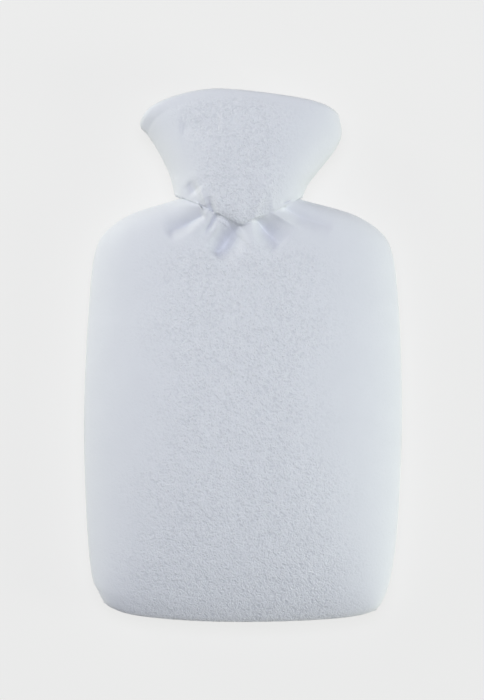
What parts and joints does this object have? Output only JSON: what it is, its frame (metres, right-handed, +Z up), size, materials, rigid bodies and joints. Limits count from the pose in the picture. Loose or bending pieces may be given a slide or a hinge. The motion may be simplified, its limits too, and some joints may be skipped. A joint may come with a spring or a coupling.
{
  "type": "hot water bottle cover",
  "caption": "Fleece pouch for a hot water bottle, gathered at the neck, with an open flared collar; it lies on its back in its filled shape.",
  "frame": {"origin": "on the surface it rests on, under the middle of the cover's box", "axes": "+X to the right and +Y from the bottom seam to the collar, as the front is seen; +Z up, out of the front panel"},
  "size_m": [0.2014, 0.3346, 0.0488],
  "materials": {
    "fleece": "pale ice-blue nubby polyester fleece, matt, with a soft short pile"
  },
  "bodies": {
    "root": {"front_panel": "fleece", "back_panel": "fleece"}
  },
  "joints": []
}
